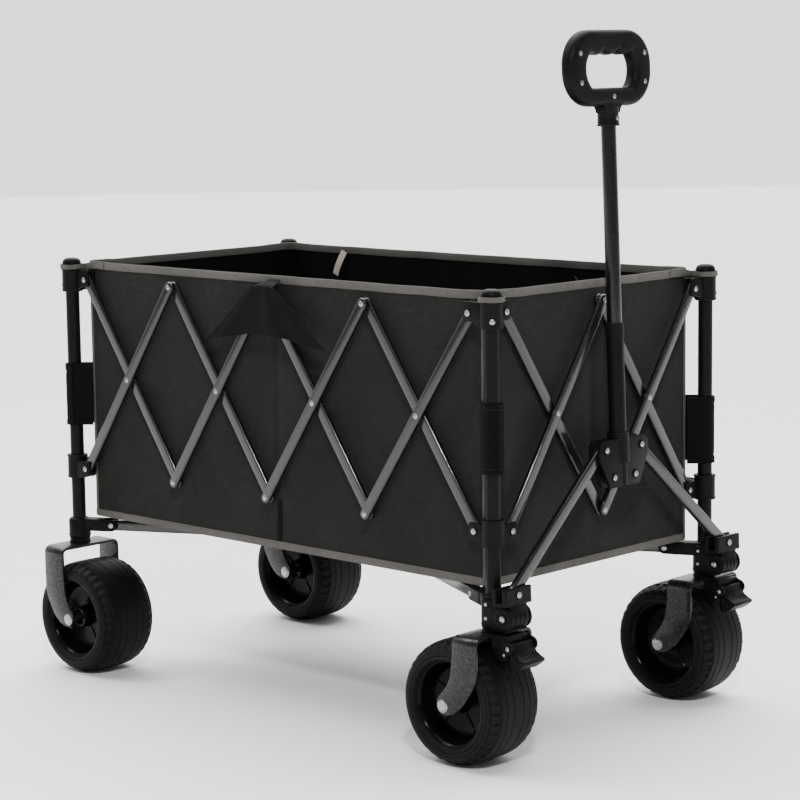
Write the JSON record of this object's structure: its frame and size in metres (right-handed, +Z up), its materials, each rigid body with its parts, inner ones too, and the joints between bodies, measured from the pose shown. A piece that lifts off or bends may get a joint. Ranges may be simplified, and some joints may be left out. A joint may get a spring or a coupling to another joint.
{
  "type": "folding camp wagon",
  "caption": "Folding camp wagon: scissor-bar frame on wide wheels around a fabric tub, with swivelling front casters, foot brakes and a telescoping pull handle.",
  "frame": {"origin": "centre of the bounding box at ground level, with the wagon open and standing on its wheels", "axes": "+X towards the pull handle (front), +Y to the wagon's left, +Z up"},
  "size_m": [1.041, 0.6102, 1.0199],
  "materials": {
    "hammered_coat": "hammered powder coat, dark grey-bronze",
    "satin_coat": "satin black powder coat",
    "black_nylon": "moulded black nylon, fine texture",
    "black_rubber": "matte black rubber on a glossy black rim",
    "charcoal_cloth": "matte charcoal woven polyester with grey-taupe bindings",
    "floor_cloth": "matte black woven cover over hinged boards"
  },
  "bodies": {
    "rear_right_corner": {"rear_right_post": "satin_coat", "rear_right_bottom_bracket": "black_nylon", "rear_right_fork": "hammered_coat", "fabric_basket": "charcoal_cloth", "padded_floor_board": "floor_cloth"},
    "rear_left_corner": {"rear_left_post": "satin_coat", "rear_left_bottom_bracket": "black_nylon", "rear_left_fork": "hammered_coat"},
    "front_right_corner": {"front_right_post": "satin_coat", "front_right_bottom_bracket": "black_nylon"},
    "front_left_corner": {"front_left_post": "satin_coat", "front_left_bottom_bracket": "black_nylon"},
    "right_falling_bar_1": {"right_falling_bar_1": "hammered_coat"},
    "right_rising_bar_1": {"right_rising_bar_1": "hammered_coat"},
    "right_rising_bar_2": {"right_rising_bar_2": "hammered_coat"},
    "right_falling_bar_2": {"right_falling_bar_2": "hammered_coat"},
    "right_falling_bar_3": {"right_falling_bar_3": "hammered_coat"},
    "right_rising_bar_3": {"right_rising_bar_3": "hammered_coat"},
    "right_rising_bar_4": {"right_rising_bar_4": "hammered_coat"},
    "right_falling_bar_4": {"right_falling_bar_4": "hammered_coat"},
    "rear_falling_bar_1": {"rear_falling_bar_1": "hammered_coat"},
    "rear_rising_bar_1": {"rear_rising_bar_1": "hammered_coat"},
    "rear_rising_bar_2": {"rear_rising_bar_2": "hammered_coat"},
    "rear_falling_bar_2": {"rear_falling_bar_2": "hammered_coat"},
    "front_falling_bar_1": {"front_falling_bar_1": "hammered_coat"},
    "front_rising_bar_1": {"front_rising_bar_1": "hammered_coat"},
    "front_rising_bar_2": {"front_rising_bar_2": "hammered_coat"},
    "front_falling_bar_2": {"front_falling_bar_2": "hammered_coat"},
    "left_falling_bar_1": {"left_falling_bar_1": "hammered_coat"},
    "left_rising_bar_1": {"left_rising_bar_1": "hammered_coat"},
    "left_rising_bar_2": {"left_rising_bar_2": "hammered_coat"},
    "left_falling_bar_2": {"left_falling_bar_2": "hammered_coat"},
    "left_falling_bar_3": {"left_falling_bar_3": "hammered_coat"},
    "left_rising_bar_3": {"left_rising_bar_3": "hammered_coat"},
    "left_rising_bar_4": {"left_rising_bar_4": "hammered_coat"},
    "left_falling_bar_4": {"left_falling_bar_4": "hammered_coat"},
    "front_right_sliding_collar": {"front_right_sliding_collar": "black_nylon"},
    "front_left_sliding_collar": {"front_left_sliding_collar": "black_nylon"},
    "rear_right_sliding_collar": {"rear_right_sliding_collar": "black_nylon"},
    "rear_left_sliding_collar": {"rear_left_sliding_collar": "black_nylon"},
    "front_right_floor_bar": {"front_right_floor_bar": "hammered_coat"},
    "front_left_floor_bar": {"front_left_floor_bar": "hammered_coat"},
    "rear_right_floor_bar": {"rear_right_floor_bar": "hammered_coat"},
    "floor_hub": {"floor_hub": "black_nylon"},
    "rear_left_floor_bar": {"rear_left_floor_bar": "hammered_coat"},
    "right_handle_knuckle": {"right_handle_knuckle": "black_nylon"},
    "right_yoke_bar": {"right_yoke_bar": "hammered_coat"},
    "left_handle_knuckle": {"left_handle_knuckle": "black_nylon"},
    "left_yoke_bar": {"left_yoke_bar": "hammered_coat"},
    "handle_hub": {"handle_hub_and_outer_tube": "black_nylon"},
    "handle_top": {"handle_inner_tube": "hammered_coat", "handle_grip": "black_nylon"},
    "front_right_caster": {"front_right_fork": "hammered_coat"},
    "front_right_wheel": {"front_right_wheel": "black_rubber"},
    "front_right_brake_pedal": {"front_right_brake_pedal": "black_nylon"},
    "front_left_caster": {"front_left_fork": "hammered_coat"},
    "front_left_wheel": {"front_left_wheel": "black_rubber"},
    "front_left_brake_pedal": {"front_left_brake_pedal": "black_nylon"},
    "rear_right_wheel": {"rear_right_wheel": "black_rubber"},
    "rear_left_wheel": {"rear_left_wheel": "black_rubber"}
  },
  "joints": [
    {"name": "fold", "type": "hinge", "parent": "rear_right_corner", "child": "right_falling_bar_1", "pos_m": [-0.4345, -0.2425, 0.636], "axis": [0, 1, 0], "range_deg": [0, 25.02], "deforming": ["fabric_basket", "padded_floor_board"]},
    {"name": "right_cross_hinge_1", "type": "hinge", "parent": "right_falling_bar_1", "child": "right_rising_bar_1", "pos_m": [-0.33, -0.2425, 0.483], "axis": [0, 1, 0], "range_deg": [-50.03, 0]},
    {"name": "right_chain_hinge_2", "type": "hinge", "parent": "right_falling_bar_1", "child": "right_rising_bar_2", "pos_m": [-0.2255, -0.2425, 0.33], "axis": [0, 1, 0], "range_deg": [-50.03, 0]},
    {"name": "right_cross_hinge_2", "type": "hinge", "parent": "right_rising_bar_2", "child": "right_falling_bar_2", "pos_m": [-0.121, -0.2425, 0.483], "axis": [0, 1, 0], "range_deg": [0, 50.03]},
    {"name": "right_chain_hinge_3", "type": "hinge", "parent": "right_rising_bar_2", "child": "right_falling_bar_3", "pos_m": [-0.0165, -0.2425, 0.636], "axis": [0, 1, 0], "range_deg": [0, 50.03]},
    {"name": "right_cross_hinge_3", "type": "hinge", "parent": "right_falling_bar_3", "child": "right_rising_bar_3", "pos_m": [0.088, -0.2425, 0.483], "axis": [0, 1, 0], "range_deg": [-50.03, 0]},
    {"name": "right_chain_hinge_4", "type": "hinge", "parent": "right_falling_bar_3", "child": "right_rising_bar_4", "pos_m": [0.1925, -0.2425, 0.33], "axis": [0, 1, 0], "range_deg": [-50.03, 0]},
    {"name": "right_cross_hinge_4", "type": "hinge", "parent": "right_rising_bar_4", "child": "right_falling_bar_4", "pos_m": [0.297, -0.2425, 0.483], "axis": [0, 1, 0], "range_deg": [0, 50.03]},
    {"name": "right_end_hinge", "type": "hinge", "parent": "right_rising_bar_4", "child": "front_right_corner", "pos_m": [0.4015, -0.2425, 0.636], "axis": [0, 1, 0], "range_deg": [0, 25.02]},
    {"name": "rear_chain_hinge_1", "type": "hinge", "parent": "rear_right_corner", "child": "rear_falling_bar_1", "pos_m": [-0.463, -0.209, 0.636], "axis": [1, 0, 0], "range_deg": [-25.02, 0]},
    {"name": "rear_cross_hinge_1", "type": "hinge", "parent": "rear_falling_bar_1", "child": "rear_rising_bar_1", "pos_m": [-0.463, -0.1045, 0.483], "axis": [1, 0, 0], "range_deg": [0, 50.03]},
    {"name": "rear_chain_hinge_2", "type": "hinge", "parent": "rear_falling_bar_1", "child": "rear_rising_bar_2", "pos_m": [-0.463, 0, 0.33], "axis": [1, 0, 0], "range_deg": [0, 50.03]},
    {"name": "rear_cross_hinge_2", "type": "hinge", "parent": "rear_rising_bar_2", "child": "rear_falling_bar_2", "pos_m": [-0.463, 0.1045, 0.483], "axis": [1, 0, 0], "range_deg": [-50.03, 0]},
    {"name": "rear_end_hinge", "type": "hinge", "parent": "rear_rising_bar_2", "child": "rear_left_corner", "pos_m": [-0.463, 0.209, 0.636], "axis": [1, 0, 0], "range_deg": [-25.02, 0]},
    {"name": "front_chain_hinge_1", "type": "hinge", "parent": "front_right_corner", "child": "front_falling_bar_1", "pos_m": [0.43, -0.209, 0.636], "axis": [1, 0, 0], "range_deg": [-25.02, 0]},
    {"name": "front_cross_hinge_1", "type": "hinge", "parent": "front_falling_bar_1", "child": "front_rising_bar_1", "pos_m": [0.43, -0.1045, 0.483], "axis": [1, 0, 0], "range_deg": [0, 50.03]},
    {"name": "front_chain_hinge_2", "type": "hinge", "parent": "front_falling_bar_1", "child": "front_rising_bar_2", "pos_m": [0.43, 0, 0.33], "axis": [1, 0, 0], "range_deg": [0, 50.03]},
    {"name": "front_cross_hinge_2", "type": "hinge", "parent": "front_rising_bar_2", "child": "front_falling_bar_2", "pos_m": [0.43, 0.1045, 0.483], "axis": [1, 0, 0], "range_deg": [-50.03, 0]},
    {"name": "front_end_hinge", "type": "hinge", "parent": "front_rising_bar_2", "child": "front_left_corner", "pos_m": [0.43, 0.209, 0.636], "axis": [1, 0, 0], "range_deg": [-25.02, 0]},
    {"name": "left_chain_hinge_1", "type": "hinge", "parent": "rear_left_corner", "child": "left_falling_bar_1", "pos_m": [-0.4345, 0.2425, 0.636], "axis": [0, 1, 0], "range_deg": [0, 25.02]},
    {"name": "left_cross_hinge_1", "type": "hinge", "parent": "left_falling_bar_1", "child": "left_rising_bar_1", "pos_m": [-0.33, 0.2425, 0.483], "axis": [0, 1, 0], "range_deg": [-50.03, 0]},
    {"name": "left_chain_hinge_2", "type": "hinge", "parent": "left_falling_bar_1", "child": "left_rising_bar_2", "pos_m": [-0.2255, 0.2425, 0.33], "axis": [0, 1, 0], "range_deg": [-50.03, 0]},
    {"name": "left_cross_hinge_2", "type": "hinge", "parent": "left_rising_bar_2", "child": "left_falling_bar_2", "pos_m": [-0.121, 0.2425, 0.483], "axis": [0, 1, 0], "range_deg": [0, 50.03]},
    {"name": "left_chain_hinge_3", "type": "hinge", "parent": "left_rising_bar_2", "child": "left_falling_bar_3", "pos_m": [-0.0165, 0.2425, 0.636], "axis": [0, 1, 0], "range_deg": [0, 50.03]},
    {"name": "left_cross_hinge_3", "type": "hinge", "parent": "left_falling_bar_3", "child": "left_rising_bar_3", "pos_m": [0.088, 0.2425, 0.483], "axis": [0, 1, 0], "range_deg": [-50.03, 0]},
    {"name": "left_chain_hinge_4", "type": "hinge", "parent": "left_falling_bar_3", "child": "left_rising_bar_4", "pos_m": [0.1925, 0.2425, 0.33], "axis": [0, 1, 0], "range_deg": [-50.03, 0]},
    {"name": "left_cross_hinge_4", "type": "hinge", "parent": "left_rising_bar_4", "child": "left_falling_bar_4", "pos_m": [0.297, 0.2425, 0.483], "axis": [0, 1, 0], "range_deg": [0, 50.03]},
    {"name": "front_right_collar_slide", "type": "slide", "parent": "front_right_corner", "child": "front_right_sliding_collar", "axis": [0, 0, 1], "range_m": [-0.05967, 0]},
    {"name": "front_left_collar_slide", "type": "slide", "parent": "front_left_corner", "child": "front_left_sliding_collar", "axis": [0, 0, 1], "range_m": [-0.05967, 0]},
    {"name": "rear_right_collar_slide", "type": "slide", "parent": "rear_right_corner", "child": "rear_right_sliding_collar", "axis": [0, 0, 1], "range_m": [-0.05967, 0]},
    {"name": "rear_left_collar_slide", "type": "slide", "parent": "rear_left_corner", "child": "rear_left_sliding_collar", "axis": [0, 0, 1], "range_m": [-0.05967, 0]},
    {"name": "front_right_floor_bar_hinge", "type": "hinge", "parent": "front_right_corner", "child": "front_right_floor_bar", "pos_m": [0.38133, -0.21567, 0.235], "axis": [0.4472, 0.8944, 0], "range_deg": [0, 85.59]},
    {"name": "front_left_floor_bar_hinge", "type": "hinge", "parent": "front_left_corner", "child": "front_left_floor_bar", "pos_m": [0.38133, 0.21567, 0.235], "axis": [-0.4472, 0.8944, 0], "range_deg": [0, 85.59]},
    {"name": "rear_right_floor_bar_hinge", "type": "hinge", "parent": "rear_right_corner", "child": "rear_right_floor_bar", "pos_m": [-0.41433, -0.21567, 0.235], "axis": [0.4472, -0.8944, 0], "range_deg": [0, 85.59]},
    {"name": "floor_hub_hinge", "type": "hinge", "parent": "rear_right_floor_bar", "child": "floor_hub", "pos_m": [-0.0915, -0.05425, 0.235], "axis": [0.4472, -0.8944, 0], "range_deg": [-85.59, 0]},
    {"name": "rear_left_floor_bar_hinge", "type": "hinge", "parent": "rear_left_corner", "child": "rear_left_floor_bar", "pos_m": [-0.41433, 0.21567, 0.235], "axis": [-0.4472, -0.8944, 0], "range_deg": [0, 85.59]},
    {"name": "handle_pitch", "type": "hinge", "parent": "front_right_corner", "child": "right_handle_knuckle", "pos_m": [0.47, -0.2425, 0.218], "axis": [0, 1, 0], "range_deg": [0, 95]},
    {"name": "right_yoke_bar_hinge", "type": "hinge", "parent": "right_handle_knuckle", "child": "right_yoke_bar", "pos_m": [0.46877, -0.2425, 0.24998], "axis": [0.9993, 0, 0.0384], "range_deg": [0, 37.64]},
    {"name": "left_handle_pitch", "type": "hinge", "parent": "front_left_corner", "child": "left_handle_knuckle", "pos_m": [0.47, 0.2425, 0.218], "axis": [0, 1, 0], "range_deg": [0, 95]},
    {"name": "left_yoke_bar_hinge", "type": "hinge", "parent": "left_handle_knuckle", "child": "left_yoke_bar", "pos_m": [0.46877, 0.2425, 0.24998], "axis": [0.9993, 0, 0.0384], "range_deg": [-37.64, 0]},
    {"name": "handle_hub_hinge", "type": "hinge", "parent": "right_yoke_bar", "child": "handle_hub", "pos_m": [0.46205, -0.04, 0.42485], "axis": [0.9993, 0, 0.0384], "range_deg": [-37.64, 0]},
    {"name": "handle_slide", "type": "slide", "parent": "handle_hub", "child": "handle_top", "axis": [-0.0384, 0, 0.9993], "range_m": [-0.19, 0]},
    {"name": "front_right_swivel", "type": "hinge", "parent": "front_right_corner", "child": "front_right_caster", "pos_m": [0.435, -0.2425, 0.205], "axis": [0, 0, 1], "continuous": true},
    {"name": "front_right_wheel_spin", "type": "hinge", "parent": "front_right_caster", "child": "front_right_wheel", "pos_m": [0.391, -0.2425, 0.09], "axis": [0, 1, 0], "continuous": true},
    {"name": "front_right_brake_pedal_hinge", "type": "hinge", "parent": "front_right_caster", "child": "front_right_brake_pedal", "pos_m": [0.4835, -0.2425, 0.179], "axis": [0, 1, 0], "range_deg": [0, 14]},
    {"name": "front_left_swivel", "type": "hinge", "parent": "front_left_corner", "child": "front_left_caster", "pos_m": [0.435, 0.2425, 0.205], "axis": [0, 0, 1], "continuous": true},
    {"name": "front_left_wheel_spin", "type": "hinge", "parent": "front_left_caster", "child": "front_left_wheel", "pos_m": [0.391, 0.2425, 0.09], "axis": [0, 1, 0], "continuous": true},
    {"name": "front_left_brake_pedal_hinge", "type": "hinge", "parent": "front_left_caster", "child": "front_left_brake_pedal", "pos_m": [0.4835, 0.2425, 0.179], "axis": [0, 1, 0], "range_deg": [0, 14]},
    {"name": "rear_right_wheel_spin", "type": "hinge", "parent": "rear_right_corner", "child": "rear_right_wheel", "pos_m": [-0.431, -0.2425, 0.09], "axis": [0, 1, 0], "continuous": true},
    {"name": "rear_left_wheel_spin", "type": "hinge", "parent": "rear_left_corner", "child": "rear_left_wheel", "pos_m": [-0.431, 0.2425, 0.09], "axis": [0, 1, 0], "continuous": true}
  ],
  "couplings": [
    {"joint": "right_cross_hinge_1", "follows": "fold", "ratio": -2},
    {"joint": "right_chain_hinge_2", "follows": "fold", "ratio": -2},
    {"joint": "right_cross_hinge_2", "follows": "fold", "ratio": 2},
    {"joint": "right_chain_hinge_3", "follows": "fold", "ratio": 2},
    {"joint": "right_cross_hinge_3", "follows": "fold", "ratio": -2},
    {"joint": "right_chain_hinge_4", "follows": "fold", "ratio": -2},
    {"joint": "right_cross_hinge_4", "follows": "fold", "ratio": 2},
    {"joint": "right_end_hinge", "follows": "fold", "ratio": 1},
    {"joint": "rear_chain_hinge_1", "follows": "fold", "ratio": -1},
    {"joint": "rear_cross_hinge_1", "follows": "fold", "ratio": 2},
    {"joint": "rear_chain_hinge_2", "follows": "fold", "ratio": 2},
    {"joint": "rear_cross_hinge_2", "follows": "fold", "ratio": -2},
    {"joint": "rear_end_hinge", "follows": "fold", "ratio": -1},
    {"joint": "front_chain_hinge_1", "follows": "fold", "ratio": -1},
    {"joint": "front_cross_hinge_1", "follows": "fold", "ratio": 2},
    {"joint": "front_chain_hinge_2", "follows": "fold", "ratio": 2},
    {"joint": "front_cross_hinge_2", "follows": "fold", "ratio": -2},
    {"joint": "front_end_hinge", "follows": "fold", "ratio": -1},
    {"joint": "left_chain_hinge_1", "follows": "fold", "ratio": 1},
    {"joint": "left_cross_hinge_1", "follows": "fold", "ratio": -2},
    {"joint": "left_chain_hinge_2", "follows": "fold", "ratio": -2},
    {"joint": "left_cross_hinge_2", "follows": "fold", "ratio": 2},
    {"joint": "left_chain_hinge_3", "follows": "fold", "ratio": 2},
    {"joint": "left_cross_hinge_3", "follows": "fold", "ratio": -2},
    {"joint": "left_chain_hinge_4", "follows": "fold", "ratio": -2},
    {"joint": "left_cross_hinge_4", "follows": "fold", "ratio": 2},
    {"joint": "front_right_collar_slide", "follows": "fold", "m_per_rad": -0.13668},
    {"joint": "front_left_collar_slide", "follows": "fold", "m_per_rad": -0.13668},
    {"joint": "rear_right_collar_slide", "follows": "fold", "m_per_rad": -0.13668},
    {"joint": "rear_left_collar_slide", "follows": "fold", "m_per_rad": -0.13668},
    {"joint": "front_right_floor_bar_hinge", "follows": "fold", "ratio": 3.4215},
    {"joint": "front_left_floor_bar_hinge", "follows": "fold", "ratio": 3.4215},
    {"joint": "rear_right_floor_bar_hinge", "follows": "fold", "ratio": 3.4215},
    {"joint": "floor_hub_hinge", "follows": "fold", "ratio": -3.4215},
    {"joint": "rear_left_floor_bar_hinge", "follows": "fold", "ratio": 3.4215},
    {"joint": "right_yoke_bar_hinge", "follows": "fold", "ratio": 1.5045},
    {"joint": "left_handle_pitch", "follows": "handle_pitch", "ratio": 1},
    {"joint": "left_yoke_bar_hinge", "follows": "fold", "ratio": -1.5045},
    {"joint": "handle_hub_hinge", "follows": "fold", "ratio": -1.5045}
  ]
}
